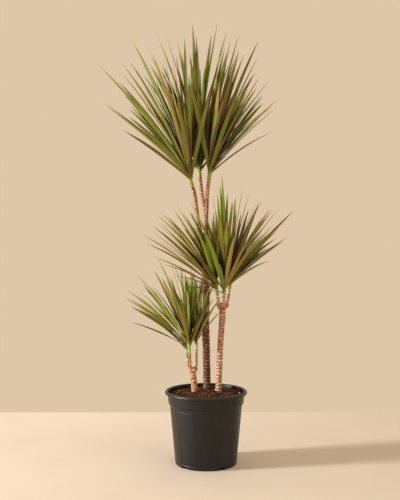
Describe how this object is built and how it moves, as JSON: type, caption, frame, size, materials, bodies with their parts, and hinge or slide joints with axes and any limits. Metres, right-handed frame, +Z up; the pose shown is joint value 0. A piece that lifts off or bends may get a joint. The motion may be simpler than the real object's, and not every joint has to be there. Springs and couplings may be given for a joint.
{
  "type": "potted dracaena marginata",
  "caption": "Upright house plant in a tapered nursery pot: bare ringed canes of unequal height fork into stems topped with spiky tufts of narrow red-edged leaves.",
  "frame": {"origin": "middle of the pot's underside, on the flat pad that the pot rests on", "axes": "+Z up; -Y is the plant's front, +X is to its right as seen from the front"},
  "size_m": [0.4994, 0.4569, 1.13],
  "materials": {
    "pot_plastic": "black moulded polypropylene, satin",
    "potting_soil": "dark moist crumbly potting mix; wood stands in for it",
    "dark_bark": "brown bark, dark at the foot, ringed with leaf scars",
    "pale_bark": "pinkish tan bark with pale flaky leaf scars",
    "tan_bark": "warm tan bark with pale leaf scars",
    "leaf": "olive green blade with red-brown margins, satin; leather stands in for it"
  },
  "bodies": {
    "root": {"pot": "pot_plastic", "soil": "potting_soil", "tall_cane": "dark_bark", "medium_cane": "pale_bark", "short_cane": "tan_bark", "tall_head_left": "leaf", "tall_head_middle": "leaf", "tall_head_right": "leaf", "medium_head_left": "leaf", "medium_head_middle": "leaf", "medium_head_right": "leaf", "short_head_left": "leaf", "short_head_middle": "leaf", "short_head_right": "leaf"}
  },
  "joints": []
}
